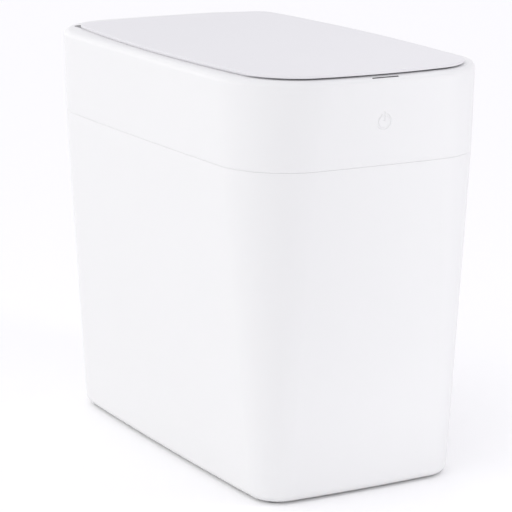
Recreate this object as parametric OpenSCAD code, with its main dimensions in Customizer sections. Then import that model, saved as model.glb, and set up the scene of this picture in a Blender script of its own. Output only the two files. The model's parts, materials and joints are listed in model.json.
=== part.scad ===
// Slim waste bin with a motor-driven flap lid.
// Origin: centre of the base on the floor. +X is the bin's right, -Y its front, +Z up. Millimetres.

/* [Body] */
// Height of the head's rim above the floor
rim_h = 330; // [329:0.5:331]
// Height of the seam between tub and head
seam_h = 261.7; // [261:0.1:262]
// Width of the tub's base
base_w = 174.2; // [172:0.2:176]
// Depth of the tub's base
base_d = 330.2; // [328:0.2:332]
// Width at the seam
seam_w = 212; // [211:0.2:213]
// Depth at the seam
seam_d = 361.4; // [360:0.2:362]
// Width at the rim
rim_w = 218.2; // [217:0.2:220]
// Depth at the rim
rim_d = 372.4; // [372:0.2:374]
// Corner radius at the base
base_r = 22.6; // [20:0.2:25]
// Corner radius at the seam
seam_r = 50.9; // [49:0.1:52]
// Corner radius at the rim
rim_r = 62; // [60:0.5:63]
// How far the long sides bow outwards
side_bow = 2.9; // [2:0.1:3.5]
// How far the front and the back bow outwards
end_bow = 2.6; // [2.4:0.1:3]
// Wall thickness of the tub and the head's cover
wall = 2.2; // [2:0.1:2.4]
// Width of the shadow gap at the seam
seam_gap = 0.1; // [0.1:0.1:0.5]

/* [Lid] */
// Width of the lid before its edges bow out
lid_w = 181.6; // [180:0.2:182]
// Depth of the lid before its edges bow out
lid_d = 330.2; // [328:0.2:330.4]
// Radius of the lid's front corners
lid_front_r = 34; // [30:1:38]
// Radius of the lid's back corners
lid_back_r = 13; // [12:0.5:16]
// How far each edge of the lid bows outwards
lid_bow = 9.9; // [9:0.1:10]
// How far the lid sits forward of the bin's centre
lid_forward = 11.5; // [11.4:0.1:12]
// Thickness of the lid's skin
lid_t = 2.65; // [2.4:0.05:2.65]
// How far the underside of the lid's front lip is cut back
lip_undercut = 5; // [3:0.5:6]
// Gap between the lid and the rim
lid_gap = 0.15; // [0.1:0.05:0.2]

/* [Touch mark] */
// Outer radius of the broken ring
mark_r = 6.2; // [5:0.1:7]
// Width of the ring's stroke and of the bar
mark_stroke = 1.7; // [1:0.1:2]
// Depth to which the mark is sunk into the wall
mark_depth = 0.5; // [0.2:0.1:0.8]

/* [Hidden] */
$fn = 48;
eps = 0.01;
corner_steps = 10;
side_steps = 5;
ring_n = 4 * (corner_steps + side_steps);
base_size = [base_w, base_d];
seam_size = [seam_w, seam_d];
rim_size = [rim_w, rim_d];
bow = [side_bow, end_bow];

// Tub
foot_h = 1.5;
base_fillet = 7;
base_ring_w = 20;
base_recess = 2;
floor_t = 2.4;
inner_wall = wall + 0.2;
foot_r = 5.5;
foot_chamfer = 0.6;
foot_inset = 16;
spigot_inset = 4;
spigot_t = 2.4;
spigot_top = seam_h + 10.3;
shoulder_z = seam_h - seam_gap / 2;

// Bag ring, which hooks over the tub's spigot
bag_ring_t = 2;
bag_ring_drop = 10;
bag_ring_play = 0.8;
bag_ring_top = spigot_top + bag_ring_t;

// Head
cover_z0 = seam_h + seam_gap / 2;
rim_fillet = 5;
deck_t = 2.4;
frame_z0 = bag_ring_top + 0.2;
frame_t = 2.4;
frame_play = 0.5;
throat_size = [156, 292];
throat_r = 20;
throat_bow = 5;
throat_back = 139;
throat_wall = 2;
throat_z0 = seam_h + 2;
flange_w = 2.2;
flange_t = 1;
fit_play = 0.05;

// Hinge line, across the back of the lid
hinge_y = 153;
hinge_z = rim_h - 5;
rod_r = 1.5;
running_play = 0.05;
knuckle_r = 4.5;
knuckle_x = [38, 56];
ear_x = [[33, 37], [57, 61]];
rod_len = 126;
trough_half = [91.5, 15.5];
trough_mid = 146.5;
trough_r = 7;
trough_bow = 4.8;
trough_floor = hinge_z - 13.7;
trough_t = 2;
lid_half = [lid_w, lid_d] / 2;
lid_edge_r = 0.5;
lid_boss_r = 2.6;
knuckle_arm_z = hinge_z - knuckle_r + 0.6;
rib_t = 1.4;
rib_y = [-100, -60, 20, 60];
bumper_r = 3.5;
bumper_pocket = 0.5;
bumper_t = bumper_pocket + lid_gap - 0.05;
lid_z0 = rim_h + lid_gap;
lid_top = lid_z0 + lid_t;
rib_top = lid_z0 - 0.6;
liner_inset = 3.5;
liner_depth = 8;
liner_t = 1.8;
liner_back = 136;

// Gear train: sector, idler, reduction gear and motor pinion
gear_m = 0.8;
lid_teeth = 26;
idler_teeth = 18;
reduction_teeth = [14, 26];
motor_teeth = 10;
pressure_angle = 25;
addendum = 0.8 * gear_m;
dedendum = 1.1 * gear_m;
backlash = 0.07;
shaft_r = 1;
gear_x = [24, 30];
wheel_x = [31, 36];
case_x = [[20.4, 22.8], [37.2, 39.6]];
idler_z = hinge_z - gear_m * (lid_teeth + idler_teeth) / 2;
reduction_z = idler_z - gear_m * (idler_teeth + reduction_teeth[0]) / 2;
motor_y = hinge_y + gear_m * (reduction_teeth[1] + motor_teeth) / 2;
down = -90;
back = 0;
lid_phase = down;
idler_phase = meshed(lid_phase, lid_teeth, idler_teeth, down);
reduction_pinion_phase = meshed(idler_phase, idler_teeth, reduction_teeth[0], down);
reduction_wheel_phase = 0;
motor_phase = meshed(reduction_wheel_phase, reduction_teeth[1], motor_teeth, back);

// Power, four cells of size AA
cell = [50.5, 14.2];
box_x = [-60, 4];
box_y = [149, 180.4];
box_z = [276.8, 309.2];
box_t = 1.4;
door_x = [-56, 0];
door_z = [278.5, 307.4];
door_gap = 0.4;
door_roll = 2.4;
door_pin_r = 1;
door_pivot = [182.2, door_z[0] + door_roll];
door_y = [172, 195];
door_block_w = 3;
box_tab = [6, 1.6];
shelf_inset = 15.4;
shelf_t = 0.5;
plate_size = [10, 0.4];
spring_wire_r = 0.35;
contact_gap = (box_x[1] - box_x[0] - 2 * box_t - cell[0]) / 2;

// Front electronics
board_t = 1.6;
board_y = [-180.6, -180.6 + board_t];
board_z = [280, 322];
mark_z = 295.5;
mark_gap = 4.2;
mark_bar = [0.6, 7.2];
window_w = 23;
window_z = [328.4, 329.1];
window_y = [-186.2, -180.6];
window_play = 0.05;
board_post_r = 2.8;
board_post_len = 16.4;
pilot_r = 1.1;
electrode_r = 8;
diode_r = 1.5;
diode_x = 7;
buzzer_at = [14, 304];
buzzer_size = [4.5, 5];
board_post_at = [for (sx = [-1, 1], z = [283.4, 317]) [sx * 22, z]];
ribbon_z = [287, 294];
control_x = [95.6, 97.2];
control_y = [28, 80];

// Screws
screw_r = 1.4;
screw_head = [2.9, 1.6];
boss_r = 3.6;
skirt_inset = 9.8;
box_screw_at = [[-63, 154], [-63, 164]];
case_screw_at = [[44, 160], [44, 150]];
boss_x = 92.5;
boss_y = [-118, 0, 96];
lid_screw_at = [for (sx = [-1, 1], y = [-140, -20, 100]) [sx * 62, y]];

// ---------- outlines and lofts ----------

function mix(a, b, t) = a + (b - a) * t;

// Corner k of a rounded rectangle, at angle a; r is one radius, or one for the back and one for the front
function corner_point(half, r, k, a) =
    let (sx = k == 0 || k == 3 ? 1 : -1, sy = k < 2 ? 1 : -1, rk = is_list(r) ? (k < 2 ? r[0] : r[1]) : r)
    [sx * (half[0] - rk) + rk * cos(a), sy * (half[1] - rk) + rk * sin(a)];

// Points of a rounded rectangle, each side divided so that it can bow
function plain_ring(half, r) = [
    for (k = [0:3], i = [0:corner_steps + side_steps - 1])
        i <= corner_steps
            ? corner_point(half, r, k, 90 * k + 90 * i / corner_steps)
            : mix(corner_point(half, r, k, 90 * k + 90),
                  corner_point(half, r, (k + 1) % 4, 90 * k + 90),
                  (i - corner_steps) / side_steps)
];

function bowed(p, half, b) = [
    p[0] + p[0] / half[0] * b[0] * (1 - pow(p[1] / half[1], 2)),
    p[1] + p[1] / half[1] * b[1] * (1 - pow(p[0] / half[0], 2))
];

function ring(half, r, b) = [for (p = plain_ring(half, r)) bowed(p, half, b)];

function shifted(points, dy) = [for (p = points) [p[0], p[1] + dy]];

// Outline of the bin's outer face at height z, taken in by inset
function body_half(z) = z < seam_h
    ? mix(base_size, seam_size, z / seam_h) / 2
    : mix(seam_size, rim_size, (z - seam_h) / (rim_h - seam_h)) / 2;
function body_r(z) = z < seam_h
    ? mix(base_r, seam_r, z / seam_h)
    : mix(seam_r, rim_r, (z - seam_h) / (rim_h - seam_h));
function body_ring(z, inset = 0) =
    ring(body_half(z) - [inset, inset], max(body_r(z) - inset, 3), bow);

function throat_ring(grow = 0) =
    shifted(ring(throat_size / 2 + [grow, grow], throat_r + grow, [throat_bow, throat_bow]),
            throat_back - throat_size[1] / 2 - throat_bow);

// Well at the back of the throat, in which the lid's rear edge and knuckles turn
function trough_ring(grow = 0) =
    shifted(ring(trough_half + [grow, grow], trough_r + grow, [0, trough_bow]), trough_mid);

// Outline of the lid, taken in by inset all round and by front_inset more at the front
function lid_ring(inset = 0, front_inset = 0) =
    shifted(ring(lid_half - [inset, inset + front_inset / 2], [lid_back_r - inset, lid_front_r - inset],
                 [lid_bow, lid_bow]),
            front_inset / 2 - lid_forward);

function at_height(points, z) = [for (p = points) [p[0], p[1], z]];

// Skin between successive rings of ring_n points, as triangles
function skin(rings, closed) = [
    for (j = [0:len(rings) - (closed ? 1 : 2)], i = [0:ring_n - 1])
        let (k = (j + 1) % len(rings), a = j * ring_n, b = k * ring_n, n = (i + 1) % ring_n)
        each [[a + i, b + i, b + n], [a + i, b + n, a + n]]
];

// Solid between rings, with flat ends on the first and the last
module loft(rings) {
    last = (len(rings) - 1) * ring_n;
    polyhedron([for (r = rings) each r],
        concat(skin(rings, false),
            [[for (i = [0:ring_n - 1]) i]],
            [[for (i = [ring_n - 1:-1:0]) last + i]]), convexity = 8);
}

// Ring-shaped solid whose section runs through the rings and back to the first
module hoop(rings) {
    polyhedron([for (r = rings) each r], skin(rings, true), convexity = 8);
}

module slab(points, z0, z1) {
    translate([0, 0, z0]) linear_extrude(z1 - z0) polygon(points);
}

// Straight frame between an outer and an inner outline
module band(outer, inner, z0, z1) {
    difference() {
        slab(outer, z0, z1);
        slab(inner, z0 - 1, z1 + 1);
    }
}

function around(middle, half) = [middle - half, middle + half];

module block(x, y, z) {
    translate([x[0], y[0], z[0]]) cube([x[1] - x[0], y[1] - y[0], z[1] - z[0]]);
}

// Cylinder along X, from x[0] to x[1]
module bar(x, y, z, r) {
    translate([x[0], y, z]) rotate([0, 90, 0]) cylinder(h = x[1] - x[0], r = r);
}

// Round wire along a list of points; no stretch may run straight up
function unit(v) = v / norm(v);
function wire_ring(path, i, r, sides) =
    let (t = unit(path[min(i + 1, len(path) - 1)] - path[max(i - 1, 0)]),
         n = unit(cross(t, [0, 0, 1])), b = cross(n, t))
    [for (k = [0:sides - 1]) path[i] + r * (cos(360 * k / sides) * n + sin(360 * k / sides) * b)];
module wire(path, r, sides = 8) {
    count = len(path);
    polyhedron([for (i = [0:count - 1]) each wire_ring(path, i, r, sides)],
        concat(
            [for (j = [0:count - 2], i = [0:sides - 1])
                let (a = j * sides, b = a + sides, n = (i + 1) % sides)
                each [[a + i, a + n, b + n], [a + i, b + n, b + i]]],
            [[for (i = [sides - 1:-1:0]) i]],
            [[for (i = [0:sides - 1]) (count - 1) * sides + i]]), convexity = 6);
}

// A machine screw along +Z, head at the bottom
module screw(length, head = screw_head, r = screw_r) {
    difference() {
        cylinder(h = head[1], r = head[0]);
        for (a = [0, 90]) rotate(a) translate([-1.6, -0.3, -eps]) cube([3.2, 0.6, 0.8]);
    }
    translate([0, 0, head[1] - eps]) cylinder(h = length + eps, r = r);
}

// ---------- gears ----------

// Angle of a tooth on a gear that meshes with another, whose own tooth is at phase
function meshed(phase, teeth, next_teeth, direction) =
    direction + 180 + 180 / next_teeth - (phase - direction) * teeth / next_teeth;

function involute_angle(a) = tan(a) * 180 / PI - a;

// Half the angle that a tooth spans at radius r
function half_tooth(teeth, r) =
    let (pitch = gear_m * teeth / 2, base = pitch * cos(pressure_angle))
    90 / teeth - backlash / pitch * 90 / PI
        + involute_angle(pressure_angle) - involute_angle(acos(min(1, base / r)));

function gear_points(teeth) =
    let (pitch = gear_m * teeth / 2, base = pitch * cos(pressure_angle),
         root = pitch - dedendum, tip = pitch + addendum, low = max(base, root),
         radii = [low, mix(low, tip, 0.33), mix(low, tip, 0.67), tip])
    [for (t = [0:teeth - 1], p = concat(
            [[root, -half_tooth(teeth, low)]],
            [for (r = radii) [r, -half_tooth(teeth, r)]],
            [for (i = [3:-1:0]) [radii[i], half_tooth(teeth, radii[i])]],
            [[root, half_tooth(teeth, low)]]))
        p[0] * [cos(360 * t / teeth + p[1]), sin(360 * t / teeth + p[1])]];

// Gear along X; angles in the YZ plane, 0 towards +Y and 90 towards +Z
module along_x(x, y, z) {
    translate([x[0], y, z]) rotate([90, 0, 90]) linear_extrude(x[1] - x[0]) children();
}
module gear(x, y, z, teeth, phase) {
    along_x(x, y, z) rotate(phase) polygon(gear_points(teeth));
}

// ---------- tub ----------

module tub() {
    z0 = foot_h;
    fillet = [for (a = [0:22.5:90]) [z0 + base_fillet * (1 - sin(90 - a)), base_fillet * (1 - sin(a))]];
    color("white") loft(concat(
        [at_height(body_ring(z0, base_ring_w + 2), z0 + base_recess),
         at_height(body_ring(z0, base_ring_w), z0)],
        [for (f = fillet) at_height(body_ring(f[0], f[1]), f[0])],
        [at_height(body_ring(shoulder_z), shoulder_z),
         at_height(body_ring(seam_h, spigot_inset), shoulder_z),
         at_height(body_ring(seam_h, spigot_inset), spigot_top),
         at_height(body_ring(seam_h, spigot_inset + spigot_t), spigot_top),
         at_height(body_ring(seam_h, spigot_inset + spigot_t), shoulder_z - inner_wall),
         at_height(body_ring(shoulder_z - 8, inner_wall), shoulder_z - 8),
         at_height(body_ring(z0 + base_fillet, inner_wall), z0 + base_recess + base_fillet),
         at_height(body_ring(z0 + base_fillet, inner_wall + 1.5), z0 + base_recess + floor_t + 1),
         at_height(body_ring(z0 + base_fillet, inner_wall + 4), z0 + base_recess + floor_t)]));
}

module feet() {
    at = base_size / 2 - [foot_inset, foot_inset];
    color("dimgray") for (sx = [-1, 1], sy = [-1, 1])
        translate([sx * at[0], sy * at[1], 0]) {
            cylinder(h = foot_chamfer, r1 = foot_r - foot_chamfer, r2 = foot_r);
            translate([0, 0, foot_chamfer]) cylinder(h = foot_h - foot_chamfer, r = foot_r);
        }
}

module bag_ring() {
    outer = spigot_inset - 0.2;
    leg = spigot_inset + spigot_t + bag_ring_play;
    color("lightgray") {
        band(body_ring(seam_h, leg), body_ring(seam_h, leg + bag_ring_t),
             spigot_top - bag_ring_drop, bag_ring_top);
        band(body_ring(seam_h, outer), body_ring(seam_h, leg + eps), spigot_top, bag_ring_top);
    }
}

// ---------- head: cover and frame ----------

module cover_shell() {
    arc = [for (a = [0:22.5:90]) [rim_h - rim_fillet * (1 - sin(a)), rim_fillet * (1 - cos(a))]];
    hoop(concat(
        [at_height(body_ring(cover_z0), cover_z0)],
        [for (p = arc) at_height(body_ring(p[0], p[1]), p[0])],
        [at_height(throat_ring(), rim_h),
         at_height(throat_ring(), rim_h - deck_t),
         at_height(body_ring(rim_h, rim_fillet), rim_h - deck_t),
         at_height(body_ring(rim_h - rim_fillet, wall + 0.8), rim_h - deck_t - 1),
         at_height(body_ring(rim_h - rim_fillet, wall), rim_h - rim_fillet),
         at_height(body_ring(cover_z0, wall), cover_z0)]));
}

module door_opening(gap) {
    block([door_x[0] - gap, door_x[1] + gap], door_y, [door_z[0] - gap, door_z[1] + gap]);
}

function boss_at() = [for (sx = [-1, 1], y = boss_y) [sx * boss_x, y]];

// Standby symbol, a broken ring and a bar, sunk into the front wall by mark_depth
module power_mark_shape(out) {
    y_face = -(body_half(mark_z)[1] + bow[1]);
    translate([0, y_face + mark_depth, mark_z]) rotate([90, 0, 0]) linear_extrude(mark_depth + out) {
        difference() {
            circle(r = mark_r);
            circle(r = mark_r - mark_stroke);
            translate([-mark_gap / 2, 0]) square([mark_gap, mark_r + 1]);
        }
        translate([-mark_stroke / 2, mark_bar[0]]) square([mark_stroke, mark_bar[1] - mark_bar[0]]);
    }
}

module head_cover() {
    color("white") {
        difference() {
            union() {
                difference() {
                    cover_shell();
                    door_opening(door_gap);
                }
                // blocks that hold the door's stub pins
                for (x = [[door_x[0] - door_gap - door_block_w, door_x[0] - door_gap],
                          [door_x[1] + door_gap, door_x[1] + door_gap + door_block_w]])
                    block(x, [box_y[1] + 0.3, 183.6], [door_z[0] - 1, door_z[0] + 6]);
            }
            slab(trough_ring(), rim_h - 4, rim_h + 1);
            bar(door_x + [-4, 4], door_pivot[0], door_pivot[1], door_pin_r + running_play);
            block([-window_w / 2 - window_play, window_w / 2 + window_play], [-195, -180],
                  window_z + [-window_play, window_play]);
            power_mark_shape(1);
        }
        for (p = boss_at()) difference() {
            translate([p[0], p[1], frame_z0 + frame_t])
                cylinder(h = rim_h - deck_t - frame_z0 - frame_t, r = boss_r);
            translate([p[0], p[1], frame_z0 - 1]) cylinder(h = 20, r = screw_r + 0.05);
        }
    }
}

module ear(x) {
    bar(x, hinge_y, hinge_z, knuckle_r);
    block(x, [hinge_y - knuckle_r, hinge_y + knuckle_r], [trough_floor - eps, hinge_z]);
}

// Plate that the throat, the drive and the battery box stand on, with the skirt that centres the head
module frame_plate() {
    plate_top = frame_z0 + frame_t;
    color("gainsboro") {
        difference() {
            band(body_ring(seam_h, wall + frame_play), throat_ring(throat_wall + fit_play),
                 frame_z0, plate_top);
            for (p = boss_at()) translate([p[0], p[1], frame_z0 - 1]) cylinder(h = 5, r = screw_r + 0.2);
            for (p = concat(case_screw_at, box_screw_at))
                translate([p[0], p[1], frame_z0 - 1]) cylinder(h = 5, r = screw_r + 0.1);
        }
        band(body_ring(seam_h, skirt_inset), body_ring(seam_h, skirt_inset + 2), seam_h + 1, frame_z0 + eps);
        // grooved guides for the control board
        for (y = control_y) difference() {
            block(control_x + [-2, 2], [y - 2, y + 2], [plate_top - eps, 300]);
            block(control_x + [-0.1, 0.1], control_y + [-0.2, 0.2], [plate_top + 1, 302]);
        }
    }
}

// Tube that leads waste into the bag; its flange rests on the frame plate
module throat_sleeve() {
    top = rim_h - deck_t;
    flange_z = frame_z0 + frame_t;
    color("gainsboro") {
        difference() {
            band(throat_ring(throat_wall), throat_ring(), throat_z0, top);
            slab(trough_ring(), trough_floor, top + 1);
        }
        band(throat_ring(throat_wall + flange_w), throat_ring(throat_wall - eps),
             flange_z, flange_z + flange_t);
        // posts for the front board
        for (p = board_post_at) difference() {
            translate([p[0], board_y[1], p[1]]) rotate([-90, 0, 0])
                cylinder(h = board_post_len, r = board_post_r);
            translate([p[0], board_y[1] - 1, p[1]]) rotate([-90, 0, 0]) cylinder(h = 10, r = pilot_r);
        }
    }
}

// Trough behind the throat, with the ears that carry the hinge rod
module hinge_housing() {
    top = rim_h - deck_t;
    color("gainsboro") difference() {
        union() {
            difference() {
                slab(trough_ring(trough_t), trough_floor - trough_t, top);
                slab(trough_ring(), trough_floor, top + 1);
            }
            for (pair = ear_x, s = [-1, 1])
                ear(s > 0 ? pair : [-pair[1], -pair[0]]);
        }
        slab(throat_ring(throat_wall + fit_play), trough_floor - trough_t - 1, top + 1);
        bar([-70, 70], hinge_y, hinge_z, rod_r + running_play);
        // slot through which the sector gear meets the idler
        block(gear_x + [-1, 1], [hinge_y - 10, hinge_y + 10],
              [trough_floor - trough_t - 1, trough_floor + 1]);
    }
}

// Spring clips at the ends of the hinge rod
module rod_clips() {
    color("silver") for (x = [-61.8, 61.2]) difference() {
        bar([x, x + 0.6], hinge_y, hinge_z, 3);
        bar([x - 1, x + 2], hinge_y, hinge_z, rod_r);
        block([x - 1, x + 2], [hinge_y - 1, hinge_y + 1], [hinge_z, hinge_z + 4]);
    }
}

module cover_screws() {
    color("silver") for (p = boss_at())
        translate([p[0], p[1], frame_z0 - screw_head[1]]) screw(14);
}

module hinge_rod() {
    color("silver") bar([-rod_len / 2, rod_len / 2], hinge_y, hinge_z, rod_r);
}

// ---------- front electronics ----------

// Smoked bar that shows in the slit at the front of the rim
module sensor_window() {
    color("dimgray") block([-window_w / 2, window_w / 2], window_y, window_z);
}

module touch_electrode() {
    color("goldenrod") translate([0, board_y[0], mark_z]) rotate([90, 0, 0])
        cylinder(h = 2.2, r = electrode_r);
}

module sensor_board() {
    color("seagreen") difference() {
        block([-26, 26], board_y, board_z);
        for (p = board_post_at) translate([p[0], board_y[0] - 1, p[1]]) rotate([-90, 0, 0])
            cylinder(h = 4, r = 1.3);
    }
}

module board_screws() {
    color("silver") for (p = board_post_at)
        translate([p[0], board_y[0] - 1.2, p[1]]) rotate([-90, 0, 0]) screw(7, [2.2, 1.2], 1.05);
}

module ir_diodes() {
    diode_h = 5;
    // each stands on its leads in front of the board's top edge
    color("black") for (sx = [-1, 1]) translate([sx * diode_x, board_y[0] - diode_r - 0.1, board_z[1] - 2]) {
        cylinder(h = diode_h, r = diode_r);
        translate([0, 0, diode_h]) sphere(r = diode_r);
        translate([-1, 1.2, -2]) cube([2, 0.4, 3]);
    }
}

// Chips and sockets, as [along the board, height above the floor, thickness]
front_chips = [[[-8, 2], [300, 310], 1.6], [[6, 14], ribbon_z + [-1, 1], 4], [[-18, -12], [290, 296], 2]];
control_chips = [[[44, 56], [292, 304], 1.8], [[32, 38], [286, 298], 2.2], [[68, 76], [302, 310], 3]];
module board_chips() {
    color("dimgray") {
        for (c = front_chips) block(c[0], [board_y[1], board_y[1] + c[2]], c[1]);
        for (c = control_chips) block([control_x[1], control_x[1] + c[2]], c[0], c[1]);
    }
}

module buzzer() {
    color("black") translate([buzzer_at[0], board_y[1], buzzer_at[1]]) rotate([-90, 0, 0]) difference() {
        cylinder(h = buzzer_size[1], r = buzzer_size[0]);
        translate([0, 0, buzzer_size[1] - 1]) cylinder(h = 2, r = 1);
    }
}

module control_board() {
    color("seagreen") block(control_x, control_y, [278, 312]);
}

// Flat cable that follows the throat from the front board to the control board
module ribbon_cable() {
    color("silver") {
        intersection() {
            band(throat_ring(5.2), throat_ring(4.4), ribbon_z[0], ribbon_z[1]);
            union() {
                block([9.6, 120], [-190, -100], ribbon_z);
                block([60, 120], [-110, 34], ribbon_z);
            }
        }
        block([9.6, 10.4], [board_y[1] + 4, -166], ribbon_z);
        block([87.4, control_x[0]], [33.2, 34], ribbon_z);
    }
}

// Route of a lead, moved up by d
function route(points, d) = [for (p = points) p + [0, 0, d]];
motor_route = [[98.7, 76.3, 307.5], [98, 81, 307.5], [94, 86, 305], [89, 91, 300], [87.2, 97, 296],
    [87, 104, 293], [86.6, 112, 292], [84.6, 122, 292], [81, 133, 292], [77, 144, 292.5],
    [72.6, 155, 293.4], [68.6, 163, 294.2], [65.4, 167.4, 294.6]];
cell_route = [[98.7, 76.3, 303.5], [97.4, 82, 303], [93, 88, 299], [88.6, 93, 292], [87.2, 99, 286],
    [86.8, 107, 282], [85, 117, 280], [80, 128, 279.4], [72, 138, 279.2], [60, 142.1, 279.2],
    [44, 142.1, 279.2], [26, 142.1, 279.2], [14, 143, 279.4], [8.4, 146.6, 281], [6, 151, 284],
    [4.6, 155, 288]];
module leads(d) {
    wire(route(motor_route, d), 0.6);
    wire(route(cell_route, d), 0.6);
}
module leads_red() {
    color("crimson") leads(0.9);
}
module leads_black() {
    color("black") leads(-0.9);
}

// ---------- lid drive ----------

case_y = [hinge_y - 9.6, motor_y + 7.6];
case_z = [frame_z0 + frame_t, idler_z + 1.6];
case_base_t = 1.6;
cheek_y = hinge_y + 9.6;
cheek_z = reduction_z + 7;
motor_boss_r = 2.4;
motor_screw_y = 4.5;
motor_screw_r = 0.8;
gearhead_len = 9;
can_len = 15;
motor_half = [6, 5];
module drive_case() {
    color("lightgray") difference() {
        union() {
            for (x = case_x) difference() {
                block(x, case_y, case_z);
                block(x + [-1, 1], [cheek_y, case_y[1] + 1], [cheek_z, case_z[1] + 1]);
            }
            block([case_x[0][0], case_x[1][1] + gearhead_len], case_y, [case_z[0], case_z[0] + case_base_t]);
        }
        for (z = [idler_z, reduction_z]) bar([15, 45], hinge_y, z, shaft_r);
        bar([30, 45], motor_y, reduction_z, motor_boss_r);
        for (y = [-1, 1])
            bar([30, 45], motor_y + y * motor_screw_y, reduction_z, motor_screw_r + running_play);
        for (p = case_screw_at) translate([p[0], p[1], case_z[0] - 1]) cylinder(h = 4, r = screw_r + 0.2);
    }
}

module drive_case_screws() {
    color("silver") for (p = case_screw_at)
        translate([p[0], p[1], case_z[0] + case_base_t + screw_head[1]]) mirror([0, 0, 1]) screw(4);
}

module idler_shaft() {
    color("silver") bar([case_x[0][0], case_x[1][1]], hinge_y, idler_z, shaft_r);
}

module reduction_shaft() {
    color("silver") bar([case_x[0][0], case_x[1][1]], hinge_y, reduction_z, shaft_r);
}

module motor_can() {
    x = case_x[1][1] + gearhead_len;
    color("silver") {
        intersection() {
            bar([x, x + can_len], motor_y, reduction_z, motor_half[0]);
            block([x - 1, x + can_len + 1], around(motor_y, motor_half[0]),
                  around(reduction_z, motor_half[1]));
        }
        bar([x + can_len - eps, x + can_len + 1.2], motor_y, reduction_z, 2);
    }
}

module motor_gearhead() {
    x = case_x[1][1];
    plate_t = 0.8;
    pitch = (gearhead_len - plate_t) / 2;
    color("goldenrod") {
        for (i = [0:2])
            block([x + i * pitch, x + i * pitch + plate_t], around(motor_y, motor_half[0]),
                  around(reduction_z, motor_half[1]));
        block([x + plate_t - eps, x + gearhead_len - plate_t + eps],
              around(motor_y, 4), around(reduction_z, 3.6));
    }
}

module motor_shaft() {
    color("silver") bar([wheel_x[0], case_x[1][1]], motor_y, reduction_z, shaft_r);
}

module motor_screws() {
    color("silver") for (y = [-1, 1])
        translate([case_x[1][0] - 1, motor_y + y * motor_screw_y, reduction_z]) rotate([0, 90, 0]) {
            cylinder(h = 1, r = 1.4);
            translate([0, 0, 1 - eps]) cylinder(h = 2.4, r = motor_screw_r);
        }
}

module idler_gear() {
    color("ivory") difference() {
        gear(gear_x, hinge_y, idler_z, idler_teeth, idler_phase);
        bar([10, 50], hinge_y, idler_z, shaft_r + running_play);
    }
}

module reduction_gear() {
    color("ivory") difference() {
        union() {
            gear([gear_x[0], wheel_x[0] + eps], hinge_y, reduction_z, reduction_teeth[0],
                 reduction_pinion_phase);
            gear(wheel_x, hinge_y, reduction_z, reduction_teeth[1], reduction_wheel_phase);
        }
        bar([10, 50], hinge_y, reduction_z, shaft_r + running_play);
    }
}

module motor_pinion() {
    color("gold") difference() {
        gear(wheel_x, motor_y, reduction_z, motor_teeth, motor_phase);
        bar([10, 50], motor_y, reduction_z, shaft_r);
    }
}

// ---------- power ----------

module battery_box() {
    color("lightgray") {
        difference() {
            block(box_x, box_y, box_z);
            block(box_x + [box_t, -box_t], [box_y[0] + box_t, 200], box_z + [box_t, -box_t]);
        }
        // shelf between the two layers of cells
        block(box_x + [shelf_inset, -shelf_inset], [box_y[0] + 1, box_y[1] - 4],
              around((box_z[0] + box_z[1]) / 2, shelf_t / 2));
        // tab that is screwed to the frame plate
        difference() {
            block([box_x[0] - box_tab[0], box_x[0] + 1], [150, 168], [box_z[0], box_z[0] + box_tab[1]]);
            for (p = box_screw_at) translate([p[0], p[1], box_z[0] - 1]) cylinder(h = 4, r = screw_r + 0.1);
        }
    }
}

module box_screws() {
    color("silver") for (p = box_screw_at)
        translate([p[0], p[1], box_z[0] + box_tab[1] + screw_head[1]]) mirror([0, 0, 1]) screw(4);
}

cell_at = [for (iy = [0, 1], iz = [0, 1])
    [box_y[0] + box_t + 0.3 + cell[1] * (iy + 0.5) + iy * 0.6,
     (box_z[0] + box_z[1]) / 2 + (iz - 0.5) * (cell[1] + 0.8)]];

function cell_flip(p) = p[1] > (box_z[0] + box_z[1]) / 2 ? 1 : -1;
cell_mid = (box_x[0] + box_x[1]) / 2;

module battery_cells() {
    color("steelblue") for (p = cell_at) translate([cell_mid, p[0], p[1]]) rotate([0, cell_flip(p) * 90, 0])
        translate([0, 0, -cell[0] / 2]) {
            cylinder(h = cell[0] - 1, r = cell[1] / 2 - 0.05);
            translate([0, 0, cell[0] - 1 - eps]) cylinder(h = 1, r = 2.75);
        }
}

function helix(r0, r1, pitch, turns) = [
    for (i = [0:10 * turns])
        let (t = i / (10 * turns), r = mix(r0, r1, t)) [r * cos(36 * i), r * sin(36 * i), pitch * i / 10]
];

module cell_springs() {
    color("silver") for (p = cell_at) translate([cell_mid, p[0], p[1]]) rotate([0, cell_flip(p) * 90, 0])
        translate([0, 0, -cell[0] / 2 - contact_gap + 0.8])
            wire(helix(4, 2.4, (contact_gap - 1.5) / 3, 3), spring_wire_r, 6);
}

module contact_plates() {
    color("silver") for (p = cell_at, s = [-1, 1])
        translate([cell_mid + s * ((box_x[1] - box_x[0] - plate_size[1]) / 2 - box_t), p[0], p[1]])
            cube([plate_size[1], plate_size[0], plate_size[0]], center = true);
}

// Door that rolls open about the stub pins at its lower edge
module battery_door() {
    y = door_pivot[0];
    z = door_pivot[1];
    color("white") {
        intersection() {
            cover_shell();
            block(door_x, door_y, [z, door_z[1]]);
        }
        bar(door_x, y, z, door_roll);
        bar(door_x + [-door_block_w, door_block_w], y, z, door_pin_r);
        // finger rib behind the top edge
        block([door_x[0] + 18, door_x[1] - 18], [182.2, 185], [door_z[1] - 3, door_z[1] - 1.6]);
    }
}

// ---------- lid ----------

function bumper_at() = [for (sx = [-1, 1], p = [[76, -157], [90, -30]]) [sx * p[0], p[1]]];

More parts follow.
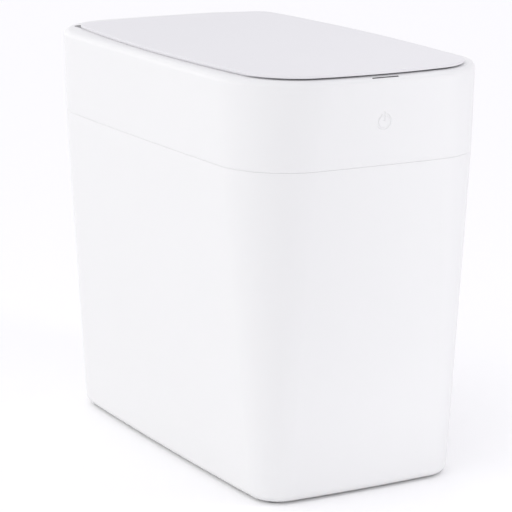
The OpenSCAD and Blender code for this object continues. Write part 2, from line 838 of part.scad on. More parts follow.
module lid_skin() {
    color("white") {
        difference() {
            loft([at_height(lid_ring(lid_edge_r, lip_undercut), lid_z0),
                at_height(lid_ring(0.1, lip_undercut * 0.3), lid_z0 + 0.9),
                at_height(lid_ring(0), lid_z0 + 1.3),
                at_height(lid_ring(0), lid_top - 0.4),
                at_height(lid_ring(lid_edge_r), lid_top)]);
            for (p = bumper_at()) translate([p[0], p[1], lid_z0 - 1])
                cylinder(h = 1 + bumper_pocket, r = bumper_r + fit_play);
        }
        for (p = lid_screw_at) translate([p[0], p[1], 0]) difference() {
            translate([0, 0, lid_z0 - liner_depth + liner_t + 0.1])
                cylinder(h = liner_depth - liner_t - 0.1 + eps, r = lid_boss_r);
            translate([0, 0, lid_z0 - 10]) cylinder(h = 9.4, r = pilot_r);
        }
    }
}

module liner_outline(grow) {
    intersection() {
        polygon(throat_ring(-liner_inset + grow));
        translate([-100, -300]) square([200, 300 + liner_back + grow]);
    }
}

module lid_liner() {
    z0 = lid_z0 - liner_depth;
    color("gainsboro") difference() {
        union() {
            translate([0, 0, z0]) linear_extrude(liner_depth) liner_outline(0);
            for (s = [-1, 1]) {
                x = s > 0 ? knuckle_x : [-knuckle_x[1], -knuckle_x[0]];
                bar(x, hinge_y, hinge_z, knuckle_r);
                block(x, [liner_back - 2, hinge_y], [knuckle_arm_z, lid_z0]);
            }
        }
        difference() {
            translate([0, 0, z0 + liner_t]) linear_extrude(liner_depth) liner_outline(-liner_t);
            for (y = rib_y) block([-100, 100], [y, y + rib_t], [z0, rib_top]);
            block([-rib_t / 2, rib_t / 2], [-200, 200], [z0, rib_top]);
        }
        bar([-70, 70], hinge_y, hinge_z, rod_r + running_play);
        for (p = lid_screw_at) translate([p[0], p[1], z0 - 1]) cylinder(h = 5, r = 1.3);
        for (p = gear_screw_at) translate([p[0], p[1], z0 - 1]) cylinder(h = 5, r = 1);
    }
}

module lid_seal() {
    z = lid_z0 - liner_depth + 2;
    color("silver") translate([0, 0, z]) linear_extrude(1.6) difference() {
        liner_outline(2.6);
        liner_outline(0);
        // open towards the hinge, where the knuckles pass
        translate([-65, liner_back - 3]) square([130, 20]);
    }
}

module lid_bumpers() {
    color("silver") for (p = bumper_at())
        translate([p[0], p[1], lid_z0 + bumper_pocket - bumper_t]) cylinder(h = bumper_t, r = bumper_r);
}

gear_screw_at = [[27, 128], [27, 120]];
module lid_gear() {
    z0 = lid_z0 - liner_depth;
    color("ivory") difference() {
        union() {
            intersection() {
                gear(gear_x, hinge_y, hinge_z, lid_teeth, lid_phase);
                along_x(gear_x, hinge_y, hinge_z)
                    polygon([[0, 0], [-12, -24], [30, -24], [30, 6]]);
            }
            bar(gear_x, hinge_y, hinge_z, knuckle_r);
            // arm that runs forward under the liner
            block(gear_x, [116, hinge_y], [z0 - 3, z0]);
        }
        bar([10, 50], hinge_y, hinge_z, rod_r + running_play);
        for (p = gear_screw_at) translate([p[0], p[1], z0 - 5]) cylinder(h = 6, r = 1);
    }
}

module gear_screws() {
    z0 = lid_z0 - liner_depth;
    color("silver") for (p = gear_screw_at)
        translate([p[0], p[1], z0 - 3 - 1.2]) {
            cylinder(h = 1.2, r = 1.9);
            translate([0, 0, 1.2 - eps]) cylinder(h = 4.4, r = 0.95);
        }
}

module lid_screws() {
    z0 = lid_z0 - liner_depth;
    color("silver") for (p = lid_screw_at)
        translate([p[0], p[1], z0 - 1.4]) screw(6.8, [2.4, 1.4], 1.05);
}

tub();
feet();
bag_ring();
head_cover();
frame_plate();
throat_sleeve();
hinge_housing();
cover_screws();
hinge_rod();
rod_clips();
sensor_window();
touch_electrode();
sensor_board();
board_screws();
ir_diodes();
board_chips();
buzzer();
control_board();
ribbon_cable();
leads_red();
leads_black();
drive_case();
drive_case_screws();
idler_shaft();
reduction_shaft();
motor_can();
motor_gearhead();
motor_shaft();
motor_screws();
battery_box();
box_screws();
battery_cells();
cell_springs();
contact_plates();
battery_door();
idler_gear();
reduction_gear();
motor_pinion();
lid_skin();
lid_liner();
lid_seal();
lid_bumpers();
lid_gear();
lid_screws();
gear_screws();
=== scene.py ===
"""Looks for the slim sensor bin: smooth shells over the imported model, materials, light and camera. Metres."""
import json
import math
import bpy
import bmesh
from mathutils import Matrix, Vector


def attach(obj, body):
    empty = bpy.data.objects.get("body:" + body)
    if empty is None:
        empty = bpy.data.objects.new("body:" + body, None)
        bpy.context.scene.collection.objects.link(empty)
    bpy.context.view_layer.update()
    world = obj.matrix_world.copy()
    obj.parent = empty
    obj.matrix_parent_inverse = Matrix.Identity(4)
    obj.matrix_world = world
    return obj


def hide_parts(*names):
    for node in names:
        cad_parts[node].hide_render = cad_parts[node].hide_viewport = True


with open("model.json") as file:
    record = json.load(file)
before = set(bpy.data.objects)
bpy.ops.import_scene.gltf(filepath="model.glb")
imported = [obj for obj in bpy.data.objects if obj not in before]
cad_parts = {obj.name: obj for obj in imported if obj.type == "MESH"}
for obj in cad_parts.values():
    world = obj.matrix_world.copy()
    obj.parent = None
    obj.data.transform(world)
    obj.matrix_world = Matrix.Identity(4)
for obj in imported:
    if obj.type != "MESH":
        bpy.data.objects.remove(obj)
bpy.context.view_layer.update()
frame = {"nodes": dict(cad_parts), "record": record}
nodes = frame["nodes"]
MM = 0.001

# ---------------------------------------------------------------- sizes, in millimetres

SEAM_H = 261.7
RIM_H = 330.0
BASE_HALF, SEAM_HALF, RIM_HALF = (87.1, 165.1), (106.0, 180.7), (109.1, 186.2)
BASE_R, SEAM_R, RIM_R = 22.6, 50.9, 62.0
BOW = (2.9, 2.6)
WALL = 2.2
SEAM_GAP = 0.1
FOOT_H = 1.5
# Underside of the tub from its recess out to the base fillet, as (inset, height above the feet)
BASE_RECESS = [(24.0, 2.0), (22.2, 1.7), (20.6, 0.2), (20.0, 0.0)]
BASE_FILLET = 7.0
RIM_FILLET = 5.0
SEAM_EDGE = 0.12
DECK_T = 2.4
# The tub's wall thickens towards the spigot over the last THICK_DEPTH below the seam
TUB_T, FLOOR_T, FLOOR_FILLET, THICK_DEPTH = 2.4, 4.4, 6.0, 8.0
SPIGOT_INSET, SPIGOT_T, SPIGOT_ROUND = 4.0, 2.4, 0.5
SPIGOT_TOP = SEAM_H + 10.3
THROAT_HALF, THROAT_R, THROAT_BOW, THROAT_Y = (78.0, 146.0), 20.0, 5.0, -12.0
THROAT_EDGE = 0.4
LID_HALF, LID_R, LID_BOW, LID_Y = (90.8, 165.1), (13.0, 34.0), 9.9, -11.5
LID_Z, LID_EDGE_R, LIP_UNDERCUT, LIP_H = (330.15, 332.8), 0.5, 5.0, 1.3
TROUGH_HALF, TROUGH_R, TROUGH_BOW, TROUGH_Y = (91.5, 15.5), 7.0, 4.8, 146.5
TROUGH_CUT_Z = (RIM_H - 4, RIM_H + 1)
MARK_Z, MARK_R, MARK_STROKE, MARK_DEPTH = 295.5, 6.2, 1.7, 0.5
MARK_GAP, MARK_BAR = 4.2, (0.6, 7.2)
# Half width and half height of the finely divided patch round the mark, then the width of its sloped edge
MARK_PATCH, MARK_SLOPE = (8.0, 8.5), 0.3
SLIT_HALF, SLIT_Z = 11.55, (328.35, 329.15)
DOOR_X, DOOR_Z, DOOR_GAP = (-56.0, 0.0), (278.5, 307.4), 0.4
DOOR_PIVOT, DOOR_ROLL, DOOR_PIN_R = (182.2, 280.9), 2.4, 1.0
DOOR_BLOCK_W, DOOR_BLOCK_Y, DOOR_BLOCK_Z = 3.0, (180.7, 183.6), (277.5, 284.5)
DOOR_RIB = ((-38.0, -18.0), (182.2, 185.0), (304.4, 305.8))
PLAY = 0.05
# Depths that reach right through the front wall and the rear wall
FRONT_WALL_Y, REAR_WALL_Y = (-195.0, -180.0), (172.0, 195.0)
BOSS_AT = [(sx * 92.5, y) for sx in (-1, 1) for y in (-118, 0, 96)]
BOSS_R, BOSS_BORE, BOSS_Z = 3.6, (1.45, 293.2), (276.6, 327.6)
LID_BOSS_AT = [(sx * 62, y) for sx in (-1, 1) for y in (-140, -20, 100)]
LID_BOSS_R, LID_BOSS_BORE, LID_BOSS_Z = 2.6, (1.1, 329.55), (324.05, 330.25)
BOSS_EDGE = 0.2
BUMPER_AT = [(sx * x, y) for sx in (-1, 1) for x, y in ((76, -157), (90, -30))]
BUMPER_R, BUMPER_POCKET = 3.55, 0.5
ROUND_SIDES = 48
SHARP_ANGLE, BEVEL_ANGLE, BEVEL_STEPS = 32.0, 34.0, 2

# ---------------------------------------------------------------- outlines


def mix(a, b, t):
    return a + (b - a) * t


def widen(span, by):
    return (span[0] - by, span[1] + by)


def spread(steps):
    return [i / steps for i in range(steps)]


# Where the points of an outline lie: each corner's turn and each side's length, as (part, share) pairs.
# The front side, number 2, takes extra points where the touch mark is sunk into it.
CORNER_STEPS, SIDE_STEPS = 28, 20


def places(dense_half=0.0, dense_step=0.25, side_length=100.0):
    found = []
    for corner in range(4):
        found += [("corner", corner, t) for t in spread(CORNER_STEPS)]
        stops = spread(SIDE_STEPS)
        if corner == 2 and dense_half:
            share = dense_half / side_length
            count = int(2 * dense_half / dense_step)
            stops = [t for t in stops if abs(t - 0.5) > share + 0.01]
            stops += [0.5 + share * (2 * i / count - 1) for i in range(count + 1)]
            stops.sort()
        found += [("side", corner, t) for t in stops]
    return found


PLAIN = places()
MARKED = places(dense_half=MARK_PATCH[0])


def corner_point(half, r, corner, angle):
    if isinstance(r, tuple):
        r = r[0] if corner < 2 else r[1]
    sx = 1 if corner in (0, 3) else -1
    sy = 1 if corner < 2 else -1
    return (sx * (half[0] - r) + r * math.cos(angle), sy * (half[1] - r) + r * math.sin(angle))


def outline(half, r, bow, where=PLAIN, y=0.0):
    """Rounded rectangle whose sides bow outwards, as a list of (x, y)."""
    points = []
    for part, corner, t in where:
        if part == "corner":
            p = corner_point(half, r, corner, math.radians(90 * (corner + t)))
        else:
            a = corner_point(half, r, corner, math.radians(90 * corner + 90))
            b = corner_point(half, r, (corner + 1) % 4, math.radians(90 * corner + 90))
            p = (mix(a[0], b[0], t), mix(a[1], b[1], t))
        u, v = p[0] / half[0], p[1] / half[1]
        points.append((p[0] + u * bow[0] * (1 - v * v), p[1] + v * bow[1] * (1 - u * u) + y))
    return points


def body_shape(z):
    if z < SEAM_H:
        t = z / SEAM_H
        low, high = (BASE_HALF, BASE_R), (SEAM_HALF, SEAM_R)
    else:
        t = (z - SEAM_H) / (RIM_H - SEAM_H)
        low, high = (SEAM_HALF, SEAM_R), (RIM_HALF, RIM_R)
    half = (mix(low[0][0], high[0][0], t), mix(low[0][1], high[0][1], t))
    return half, mix(low[1], high[1], t)


def body_ring(shape_z, z, inset=0.0, where=PLAIN):
    half, r = body_shape(shape_z)
    half = (half[0] - inset, half[1] - inset)
    return [(x, y, z) for x, y in outline(half, max(r - inset, 3.0), BOW, where)]


def level_ring(z, inset=0.0, where=PLAIN):
    """Outline that the body has at height z, lying at that height."""
    return body_ring(z, z, inset, where)


def throat_ring(z, grow=0.0, where=PLAIN):
    half = (THROAT_HALF[0] + grow, THROAT_HALF[1] + grow)
    return [(x, y, z) for x, y in outline(half, THROAT_R + grow, (THROAT_BOW,) * 2, where, THROAT_Y)]


def lid_ring(z, inset=0.0, front_inset=0.0):
    half = (LID_HALF[0] - inset, LID_HALF[1] - inset - front_inset / 2)
    radii = (LID_R[0] - inset, LID_R[1] - inset)
    return [(x, y, z) for x, y in outline(half, radii, (LID_BOW,) * 2, PLAIN, LID_Y + front_inset / 2)]


# ---------------------------------------------------------------- mesh building


def link(mesh_name, mesh):
    obj = bpy.data.objects.new(mesh_name, mesh)
    bpy.context.scene.collection.objects.link(obj)
    return obj


def smooth(obj):
    for face in obj.data.polygons:
        face.use_smooth = True
    obj.data.set_sharp_from_angle(angle=math.radians(SHARP_ANGLE))


def loft(name, rings, closed):
    """Skin through rings of (x, y, z) in millimetres, back to the first if closed, else with flat ends."""
    bm = bmesh.new()
    made = [[bm.verts.new([c * MM for c in p]) for p in ring] for ring in rings]
    pairs = list(zip(made, made[1:] + made[:1])) if closed else list(zip(made, made[1:]))
    for low, high in pairs:
        n = len(low)
        for i in range(n):
            k = (i + 1) % n
            bm.faces.new((low[i], low[k], high[k], high[i]))
    if not closed:
        bm.faces.new(list(reversed(made[0])))
        bm.faces.new(made[-1])
    bmesh.ops.recalc_face_normals(bm, faces=bm.faces)
    mesh = bpy.data.meshes.new(name)
    bm.to_mesh(mesh)
    bm.free()
    return link(name, mesh)


def box(x, y, z):
    bm = bmesh.new()
    bmesh.ops.create_cube(bm, size=1.0)
    for v in bm.verts:
        v.co = Vector([mix(span[0], span[1], c + 0.5) * MM for span, c in zip((x, y, z), v.co)])
    mesh = bpy.data.meshes.new("box")
    bm.to_mesh(mesh)
    bm.free()
    return link("box", mesh)


def prism(points, z0, z1):
    return loft("cutter", [[(x, y, z0) for x, y in points], [(x, y, z1) for x, y in points]], False)


def turn(r):
    """Points of a circle about (0, 0)."""
    angles = [2 * math.pi * i / ROUND_SIDES for i in range(ROUND_SIDES)]
    return [(r * math.cos(a), r * math.sin(a)) for a in angles]


def circle(x, y, z, r):
    return [(x + u, y + v, z) for u, v in turn(r)]


def rod(name, x, y, z, r):
    """Round bar along X, from x[0] to x[1]."""
    return loft(name, [[(end, y + u, z + v) for u, v in turn(r)] for end in x], False)


def post(x, y, z, r, bore):
    """Round post with a screw hole in its lower end; bore is the hole's radius and the height of its top."""
    bottom, top = z
    hole_r, hole_top = bore
    rings = [circle(x, y, hole_top, hole_r),
             circle(x, y, bottom + BOSS_EDGE, hole_r),
             circle(x, y, bottom, hole_r + BOSS_EDGE),
             circle(x, y, bottom, r - BOSS_EDGE),
             circle(x, y, bottom + BOSS_EDGE, r),
             circle(x, y, top, r)]
    made = loft("post", rings, False)
    smooth(made)
    return made


def merge(obj, others):
    """Adds the meshes of others to obj as further shells."""
    bm = bmesh.new()
    bm.from_mesh(obj.data)
    for other in others:
        bm.from_mesh(other.data)
        bpy.data.objects.remove(other)
    bm.to_mesh(obj.data)
    bm.free()


def soften(obj, width):
    """Rounds the sharp edges and keeps the flat faces looking flat."""
    bevel = obj.modifiers.new("soften", "BEVEL")
    bevel.width = width * MM
    bevel.segments = BEVEL_STEPS
    bevel.limit_method = "ANGLE"
    bevel.angle_limit = math.radians(BEVEL_ANGLE)
    flat = obj.modifiers.new("flat", "WEIGHTED_NORMAL")
    flat.keep_sharp = True


def apply_boolean(obj, other, operation):
    mod = obj.modifiers.new("cut", "BOOLEAN")
    mod.operation = operation
    mod.solver = "EXACT"
    mod.object = other
    graph = bpy.context.evaluated_depsgraph_get()
    mesh = bpy.data.meshes.new_from_object(obj.evaluated_get(graph))
    obj.modifiers.clear()
    old = obj.data
    obj.data = mesh
    bpy.data.meshes.remove(old)
    bpy.data.objects.remove(other)


def arc(radius, steps):
    """Quarter turn of a fillet, as (drop, inset) pairs from vertical wall to flat top."""
    turns = [math.pi / 2 * i / steps for i in range(steps + 1)]
    return [(radius * (1 - math.sin(a)), radius * (1 - math.cos(a))) for a in turns]


# ---------------------------------------------------------------- tub


def make_tub():
    z0, shoulder = FOOT_H, SEAM_H - SEAM_GAP / 2
    low, thick_z, floor = z0 + BASE_FILLET, shoulder - THICK_DEPTH, z0 + FLOOR_T
    spigot_inside = SPIGOT_INSET + SPIGOT_T

    # Outside, upwards
    rings = [body_ring(z0, z0 + height, inset) for inset, height in BASE_RECESS]
    rings += [level_ring(z0 + drop, inset) for drop, inset in reversed(arc(BASE_FILLET, 14))]
    rings += [level_ring(mix(low, shoulder - SEAM_EDGE, t)) for t in spread(24)[1:]]
    rings += [level_ring(shoulder - drop, inset) for drop, inset in arc(SEAM_EDGE, 4)]
    rings.append(body_ring(SEAM_H, shoulder, SPIGOT_INSET))
    rings += [body_ring(SEAM_H, SPIGOT_TOP - drop, SPIGOT_INSET + inset)
              for drop, inset in arc(SPIGOT_ROUND, 3)]

    # Inside, downwards
    rings += [body_ring(SEAM_H, SPIGOT_TOP - drop, spigot_inside - inset)
              for drop, inset in reversed(arc(SPIGOT_ROUND, 3))]
    rings += [body_ring(SEAM_H, shoulder - TUB_T, spigot_inside), level_ring(thick_z, TUB_T)]
    rings += [level_ring(mix(thick_z, floor + FLOOR_FILLET, t), TUB_T) for t in spread(12)[1:]]
    rings += [body_ring(low, floor + drop, TUB_T + inset) for drop, inset in arc(FLOOR_FILLET, 8)]

    tub = loft("tub_shell", rings, False)
    smooth(tub)
    return tub


# ---------------------------------------------------------------- head cover


def mark_distance(x, z):
    """Distance from the outline of the standby symbol, negative inside it."""
    dz = z - MARK_Z
    ring = abs(math.hypot(x, dz) - MARK_R + MARK_STROKE / 2) - MARK_STROKE / 2
    opening = max(abs(x) - MARK_GAP / 2, -dz)
    ring = max(ring, -opening)
    middle = (MARK_BAR[0] + MARK_BAR[1]) / 2
    bar = max(abs(x) - MARK_STROKE / 2, abs(dz - middle) - (MARK_BAR[1] - MARK_BAR[0]) / 2)
    return min(ring, bar)


def sink_mark(obj):
    """Presses the symbol into the front wall of a mesh whose grid is fine enough there."""
    for v in obj.data.vertices:
        x, y, z = v.co / MM
        if y > FRONT_WALL_Y[1] or abs(x) > MARK_PATCH[0] or abs(z - MARK_Z) > MARK_PATCH[1] - 0.1:
            continue
        half, _ = body_shape(z)
        if y > -(half[1] + BOW[1]) + 1:
            continue
        share = min(max(0.5 - mark_distance(x, z) / MARK_SLOPE, 0.0), 1.0)
        v.co.y += MARK_DEPTH * share * MM


def head_rings():
    z0 = SEAM_H + SEAM_GAP / 2
    patch = (MARK_Z - MARK_PATCH[1], MARK_Z + MARK_PATCH[1])
    heights = [mix(z0 + SEAM_EDGE, patch[0], t) for t in spread(6)[1:]]
    heights += [mix(*patch, t) for t in spread(68)]
    heights += [mix(patch[1], RIM_H - RIM_FILLET, t) for t in spread(6)]

    # Outer wall and rim, upwards
    rings = [level_ring(z0 + drop, inset, MARKED) for drop, inset in reversed(arc(SEAM_EDGE, 3))]
    rings += [level_ring(z, 0.0, MARKED) for z in heights]
    rings += [level_ring(RIM_H - drop, inset, MARKED) for drop, inset in arc(RIM_FILLET, 20)]
    rings.append(level_ring(RIM_H, RIM_FILLET + 1.5, MARKED))

    # Deck, the throat's rounded edge and the inner faces, downwards
    rings.append(throat_ring(RIM_H, THROAT_EDGE + 1.0, MARKED))
    rings += [throat_ring(RIM_H - THROAT_EDGE * (1 - math.cos(a)), THROAT_EDGE * (1 - math.sin(a)), MARKED)
              for a in (0.0, math.pi / 6, math.pi / 3, math.pi / 2)]
    rings.append(throat_ring(RIM_H - DECK_T, 0.0, MARKED))
    rings.append(body_ring(RIM_H, RIM_H - DECK_T, RIM_FILLET, MARKED))
    rings.append(body_ring(RIM_H - RIM_FILLET, RIM_H - DECK_T - 1, WALL + 0.8, MARKED))
    rings.append(level_ring(RIM_H - RIM_FILLET, WALL, MARKED))
    rings.append(level_ring(z0, WALL, MARKED))
    return rings


def pin_block(x):
    """Block beside the door's opening, bored for the stub pin."""
    block = box(x, DOOR_BLOCK_Y, DOOR_BLOCK_Z)
    apply_boolean(block, rod("cutter", widen(x, 1), *DOOR_PIVOT, DOOR_PIN_R + PLAY), "DIFFERENCE")
    return block


def make_head():
    head = loft("head_shell", head_rings(), True)
    sink_mark(head)
    well = outline(TROUGH_HALF, TROUGH_R, (0.0, TROUGH_BOW), PLAIN, TROUGH_Y)
    opening = (widen(DOOR_X, DOOR_GAP), widen(DOOR_Z, DOOR_GAP))
    cutters = [prism(well, *TROUGH_CUT_Z),
               box((-SLIT_HALF, SLIT_HALF), FRONT_WALL_Y, SLIT_Z),
               box(opening[0], REAR_WALL_Y, opening[1]),
               rod("cutter", widen(DOOR_X, 4), *DOOR_PIVOT, DOOR_PIN_R + PLAY)]
    for cutter in cutters:
        apply_boolean(head, cutter, "DIFFERENCE")
    smooth(head)
    left, right = opening[0]
    blocks = [pin_block((left - DOOR_BLOCK_W, left)), pin_block((right, right + DOOR_BLOCK_W))]
    merge(head, blocks + [post(x, y, BOSS_Z, BOSS_R, BOSS_BORE) for x, y in BOSS_AT])
    return head


# ---------------------------------------------------------------- lid and door


def make_lid():
    """Flat panel with a crisp top edge; the underside of its front lip is cut back."""
    z0, z1 = LID_Z
    rings = [lid_ring(z0, LID_EDGE_R + 2.0, LIP_UNDERCUT), lid_ring(z0, LID_EDGE_R + 0.3, LIP_UNDERCUT)]
    rings += [lid_ring(z0 + LIP_H * t, LID_EDGE_R * (1 - t) ** 2, LIP_UNDERCUT * (1 - t) ** 0.8)
              for t in spread(8)]
    rings.append(lid_ring(z0 + LIP_H))
    rings += [lid_ring(z1 - drop, inset) for drop, inset in arc(LID_EDGE_R, 6)]
    rings.append(lid_ring(z1, 2.4))
    lid = loft("lid_panel", rings, False)
    for x, y in BUMPER_AT:
        pocket = loft("cutter", [circle(x, y, z, BUMPER_R) for z in (z0 - 1, z0 + BUMPER_POCKET)], False)
        apply_boolean(lid, pocket, "DIFFERENCE")
    smooth(lid)
    merge(lid, [post(x, y, LID_BOSS_Z, LID_BOSS_R, LID_BOSS_BORE) for x, y in LID_BOSS_AT])
    return lid


def make_door():
    """Piece of the cover's wall that rolls open about the stub pins at its lower edge."""
    heights = [mix(*widen(DOOR_Z, 6), t / 8) for t in range(9)]
    rings = [level_ring(z) for z in heights] + [level_ring(z, WALL) for z in reversed(heights)]
    door = loft("door_panel", rings, True)
    apply_boolean(door, box(DOOR_X, REAR_WALL_Y, (DOOR_PIVOT[1], DOOR_Z[1])), "INTERSECT")
    additions = [rod("roll", DOOR_X, *DOOR_PIVOT, DOOR_ROLL),
                 rod("pins", widen(DOOR_X, DOOR_BLOCK_W), *DOOR_PIVOT, DOOR_PIN_R),
                 box(*DOOR_RIB)]
    for addition in additions:
        apply_boolean(door, addition, "UNION")
    smooth(door)
    return door


# ---------------------------------------------------------------- materials


def shader(name, color, roughness, metallic=0.0, **more):
    """Material with its constant values on the shader's own sockets."""
    mat = bpy.data.materials.new(name)
    mat.use_nodes = True
    bsdf = mat.node_tree.nodes["Principled BSDF"]
    bsdf.inputs["Base Color"].default_value = (*color, 1.0)
    bsdf.inputs["Roughness"].default_value = roughness
    bsdf.inputs["Metallic"].default_value = metallic
    for socket, value in more.items():
        bsdf.inputs[socket.replace("_", " ")].default_value = value
    return mat, bsdf


def node(mat, kind):
    return mat.node_tree.nodes.new(kind)


def add_grain(mat, bsdf, scale, bump, rough):
    """Fine moulded or rolled texture: one noise in the bump and, between the rough pair, in the roughness."""
    tree = mat.node_tree
    coords = node(mat, "ShaderNodeTexCoord")
    noise = node(mat, "ShaderNodeTexNoise")
    noise.inputs["Scale"].default_value = scale
    noise.inputs["Detail"].default_value = 4.0
    tree.links.new(coords.outputs["Object"], noise.inputs["Vector"])
    height = node(mat, "ShaderNodeBump")
    height.inputs["Strength"].default_value = bump
    height.inputs["Distance"].default_value = 0.05 * MM
    tree.links.new(noise.outputs["Fac"], height.inputs["Height"])
    tree.links.new(height.outputs["Normal"], bsdf.inputs["Normal"])
    span = node(mat, "ShaderNodeMapRange")
    span.inputs["To Min"].default_value = rough[0]
    span.inputs["To Max"].default_value = rough[1]
    tree.links.new(noise.outputs["Fac"], span.inputs["Value"])
    tree.links.new(span.outputs["Result"], bsdf.inputs["Roughness"])


def add_tint(mat, bsdf, low, high, scale):
    """Slow variation of colour between two close tints."""
    tree = mat.node_tree
    coords = node(mat, "ShaderNodeTexCoord")
    noise = node(mat, "ShaderNodeTexNoise")
    noise.inputs["Scale"].default_value = scale
    tree.links.new(coords.outputs["Object"], noise.inputs["Vector"])
    ramp = node(mat, "ShaderNodeValToRGB")
    ramp.color_ramp.elements[0].color = (*low, 1.0)
    ramp.color_ramp.elements[1].color = (*high, 1.0)
    tree.links.new(noise.outputs["Fac"], ramp.inputs["Fac"])
    tree.links.new(ramp.outputs["Color"], bsdf.inputs["Base Color"])


def plastic(name, low, high, rough, grain=1400.0, bump=0.25, coat=0.0, gloss=0.5):
    mat, bsdf = shader(name, high, rough[0], Specular_IOR_Level=gloss, Coat_Weight=coat, Coat_Roughness=0.12)
    add_grain(mat, bsdf, grain, bump, rough)
    add_tint(mat, bsdf, low, high, 9.0)
    return mat


def metal(name, low, high, rough, grain=600.0, bump=0.2):
    mat, bsdf = shader(name, high, rough[0], metallic=1.0)
    add_grain(mat, bsdf, grain, bump, rough)
    add_tint(mat, bsdf, low, high, 60.0)
    return mat


# Keyed by the record's slot names, because Blender may number a name that is taken
MATERIALS = {
    "white_abs": plastic("white_abs", (0.755, 0.755, 0.76), (0.765, 0.765, 0.77), (0.38, 0.46), gloss=0.4),
    # lid_abs: the lid is the same white plastic as the body; its darker, slightly blue tone is painted shade
    # for the lid's top
    "lid_abs": plastic("lid_abs", (0.712, 0.707, 0.727), (0.722, 0.717, 0.737), (0.42, 0.50), gloss=0.35),
    "white_pp": plastic("white_pp", (0.72, 0.72, 0.74), (0.76, 0.76, 0.78), (0.42, 0.52), 900.0, 0.3),
    "grey_pp": plastic("grey_pp", (0.50, 0.50, 0.52), (0.55, 0.55, 0.57), (0.45, 0.55), 900.0, 0.3),
    "soft_rubber": plastic("soft_rubber", (0.045, 0.045, 0.05), (0.065, 0.065, 0.07),
                           (0.7, 0.85), 700.0, 0.5),
    "smoked_lens": plastic("smoked_lens", (0.010, 0.009, 0.012), (0.016, 0.014, 0.018),
                           (0.06, 0.10), 300.0, 0.05),
    "zinc_steel": metal("zinc_steel", (0.52, 0.53, 0.55), (0.66, 0.67, 0.68), (0.24, 0.38)),
    "spring_steel": metal("spring_steel", (0.60, 0.59, 0.57), (0.74, 0.73, 0.71), (0.14, 0.24)),
    "brass": metal("brass", (0.66, 0.48, 0.20), (0.78, 0.60, 0.28), (0.20, 0.32)),
    "acetal": plastic("acetal", (0.72, 0.70, 0.62), (0.78, 0.76, 0.68), (0.30, 0.40), 800.0, 0.2),
    "circuit_board": plastic("circuit_board", (0.012, 0.10, 0.045), (0.02, 0.16, 0.07),
                             (0.28, 0.42), 260.0, 0.3),
    "black_epoxy": plastic("black_epoxy", (0.014, 0.014, 0.015), (0.022, 0.022, 0.024),
                           (0.5, 0.65), 1200.0, 0.4),
    "copper_pad": metal("copper_pad", (0.72, 0.40, 0.26), (0.82, 0.50, 0.34), (0.22, 0.36)),
    "ribbon_pvc": plastic("ribbon_pvc", (0.56, 0.56, 0.58), (0.64, 0.64, 0.66), (0.35, 0.45), 500.0, 0.2),
    "red_pvc": plastic("red_pvc", (0.42, 0.015, 0.015), (0.50, 0.025, 0.02), (0.34, 0.44), 500.0, 0.2),
    "black_pvc": plastic("black_pvc", (0.012, 0.012, 0.013), (0.02, 0.02, 0.021), (0.34, 0.44), 500.0, 0.2),
    "cell_wrap": plastic("cell_wrap", (0.02, 0.06, 0.20), (0.03, 0.09, 0.28), (0.18, 0.26), 200.0, 0.1, 0.4),
}


def paint(obj, slot_name):
    obj.data.materials.clear()
    obj.data.materials.append(MATERIALS[slot_name])


def finish_piece(obj, body, slot_name, *replaced):
    paint(obj, slot_name)
    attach(obj, body)
    if replaced:
        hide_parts(*replaced)


finish_piece(make_tub(), "tub", "white_abs", "tub")
finish_piece(make_head(), "head", "white_abs", "head_cover")
# The lid panel takes lid_abs, whose darker tone is painted shade on the lid's top
finish_piece(make_lid(), "lid", "lid_abs", "lid_skin")
finish_piece(make_door(), "battery_door", "white_abs", "battery_door")

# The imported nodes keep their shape; welding, smooth faces and softened edges, in millimetres, come on top
SOFT_EDGE = {"feet": 0.4, "lid_seal": 0.4, "bag_ring": 0.4, "motor_can": 0.4,
             "battery_box": 0.3, "lid_liner": 0.3, "throat_sleeve": 0.3, "hinge_housing": 0.3,
             "drive_case": 0.25, "frame_plate": 0.25,
             "idler_gear": 0.08, "reduction_gear": 0.08, "lid_gear": 0.08, "motor_pinion": 0.06}
SOFT_EDGE_ELSEWHERE = 0.12
WELD_GAP = 0.01
ROUND_ONLY = ("leads_red", "leads_black", "cell_springs")
for part in frame["record"]["subparts"]:
    obj = nodes[part["node"]]
    paint(obj, part["material_slot"])
    if obj.hide_render:
        continue
    weld = obj.modifiers.new("weld", "WELD")
    weld.merge_threshold = WELD_GAP * MM
    for face in obj.data.polygons:
        face.use_smooth = True
    if part["node"] not in ROUND_ONLY:
        soften(obj, SOFT_EDGE.get(part["node"], SOFT_EDGE_ELSEWHERE))

# ---------------------------------------------------------------- floor, light and camera


def make_floor():
    mesh = bpy.data.meshes.new("floor")
    size = 6.0
    corners = [(-size, -size, 0), (size, -size, 0), (size, size, 0), (-size, size, 0)]
    mesh.from_pydata(corners, [], [(0, 1, 2, 3)])
    floor = link("floor", mesh)
    mat, bsdf = shader("studio_floor", (0.99, 0.99, 0.99), 0.9, Specular_IOR_Level=0.2)
    mesh.materials.append(mat)


def blend(tree, low, high):
    """Colour mix node between two fixed colours; its first input is the share of the second."""
    made = tree.nodes.new("ShaderNodeMix")
    made.data_type = "RGBA"
    made.inputs[6].default_value = (*low, 1.0)
    made.inputs[7].default_value = (*high, 1.0)
    return made


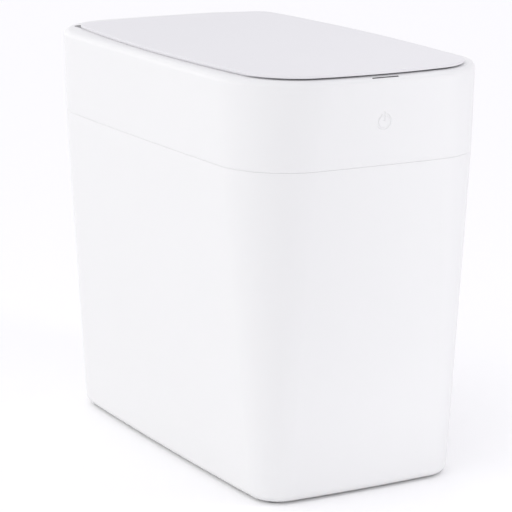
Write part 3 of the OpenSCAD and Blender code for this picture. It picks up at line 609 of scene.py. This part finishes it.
def make_world(horizon, overhead, dim_side, bright_side, toward):
    """Studio surround: one tone at the horizon and one overhead, brighter towards one compass direction."""
    world = bpy.data.worlds.new("studio")
    world.use_nodes = True
    tree = world.node_tree
    coords = tree.nodes.new("ShaderNodeTexCoord")
    split = tree.nodes.new("ShaderNodeSeparateXYZ")
    upwards = blend(tree, horizon, overhead)
    along = tree.nodes.new("ShaderNodeVectorMath")
    along.operation = "DOT_PRODUCT"
    angle = math.radians(toward)
    along.inputs[1].default_value = (math.cos(angle), math.sin(angle), 0.0)
    share = tree.nodes.new("ShaderNodeMapRange")
    share.inputs["From Min"].default_value = -1.0
    sideways = blend(tree, dim_side, bright_side)
    product = tree.nodes.new("ShaderNodeVectorMath")
    product.operation = "MULTIPLY"
    tree.links.new(coords.outputs["Generated"], split.inputs["Vector"])
    tree.links.new(coords.outputs["Generated"], along.inputs[0])
    tree.links.new(split.outputs["Z"], upwards.inputs["Factor"])
    tree.links.new(along.outputs["Value"], share.inputs["Value"])
    tree.links.new(share.outputs["Result"], sideways.inputs["Factor"])
    tree.links.new(upwards.outputs[2], product.inputs[0])
    tree.links.new(sideways.outputs[2], product.inputs[1])
    tree.links.new(product.outputs["Vector"], tree.nodes["Background"].inputs["Color"])
    bpy.context.scene.world = world


def make_light(name, place, target, size, power):
    data = bpy.data.lights.new(name, "AREA")
    data.shape = "RECTANGLE"
    data.size, data.size_y = size
    data.energy = power
    lamp = bpy.data.objects.new(name, data)
    bpy.context.scene.collection.objects.link(lamp)
    lamp.location = place
    lamp.rotation_mode = "QUATERNION"
    lamp.rotation_quaternion = (Vector(target) - Vector(place)).to_track_quat("-Z", "Y")


def make_camera(azimuth, elevation, distance, target, lens, roll):
    a, e, r = (math.radians(v) for v in (azimuth, elevation, roll))
    back = Vector((math.sin(a) * math.cos(e), -math.cos(a) * math.cos(e), math.sin(e)))
    right = (-back).cross(Vector((0, 0, 1))).normalized()
    up = right.cross(-back)
    right, up = right * math.cos(r) + up * math.sin(r), up * math.cos(r) - right * math.sin(r)
    data = bpy.data.cameras.new("camera")
    data.lens = lens
    data.sensor_width = 36.0
    camera = bpy.data.objects.new("camera", data)
    bpy.context.scene.collection.objects.link(camera)
    place = Vector(target) + back * distance
    axes = Matrix((right, up, back)).transposed()
    camera.matrix_world = Matrix.Translation(place) @ axes.to_4x4()
    bpy.context.scene.camera = camera


make_floor()
make_world(horizon=(1.50, 1.50, 1.50), overhead=(0.96, 0.95, 1.01),
           dim_side=(0.492, 0.487, 0.508), bright_side=(1.235, 1.235, 1.215), toward=150.0)
make_light("key", place=(0.35, -0.45, 0.85), target=(0, -0.05, 0.33), size=(0.14, 0.14), power=0.7)
make_light("right_softbox", place=(0.45, -0.6, 0.18), target=(0, -0.1, 0.12), size=(0.4, 0.3), power=0.58)
make_light("floor_strip", place=(0.05, -0.30, 0.012), target=(0.03, -0.17, 0.03), size=(0.3, 0.02),
           power=0.018)
make_camera(azimuth=-29.52, elevation=13.34, distance=1.9644, target=(-0.0025, 0.0014, 0.1539), lens=168.07,
            roll=0.34)
bpy.context.scene.view_settings.view_transform = "Standard"
